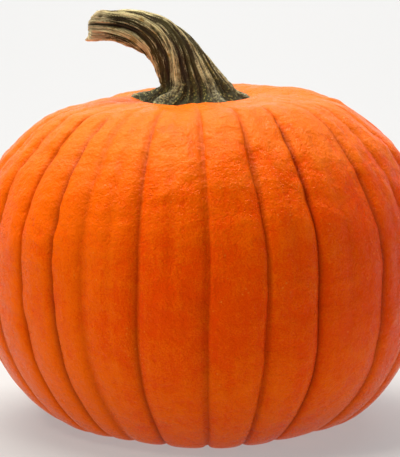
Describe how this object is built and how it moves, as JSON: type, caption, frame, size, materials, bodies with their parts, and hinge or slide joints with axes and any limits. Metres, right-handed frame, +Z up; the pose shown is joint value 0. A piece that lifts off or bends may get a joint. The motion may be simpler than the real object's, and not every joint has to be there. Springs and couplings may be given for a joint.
{
  "type": "pumpkin",
  "caption": "Ripe orange pumpkin, a flattened round fruit with soft unequal ribs and a bent woody stem; it stands on its own underside.",
  "frame": {"origin": "under the middle of the pumpkin, on the surface that it stands on", "axes": "+Z up out of the crown, -Y towards the front face, and -X the side that the stem bends over to"},
  "size_m": [0.299, 0.2992, 0.2705],
  "materials": {
    "skin": "satin, waxy skin",
    "stem_wood": "dry, furrowed and matte"
  },
  "bodies": {
    "root": {"fruit": "skin", "stem": "stem_wood"}
  },
  "joints": []
}
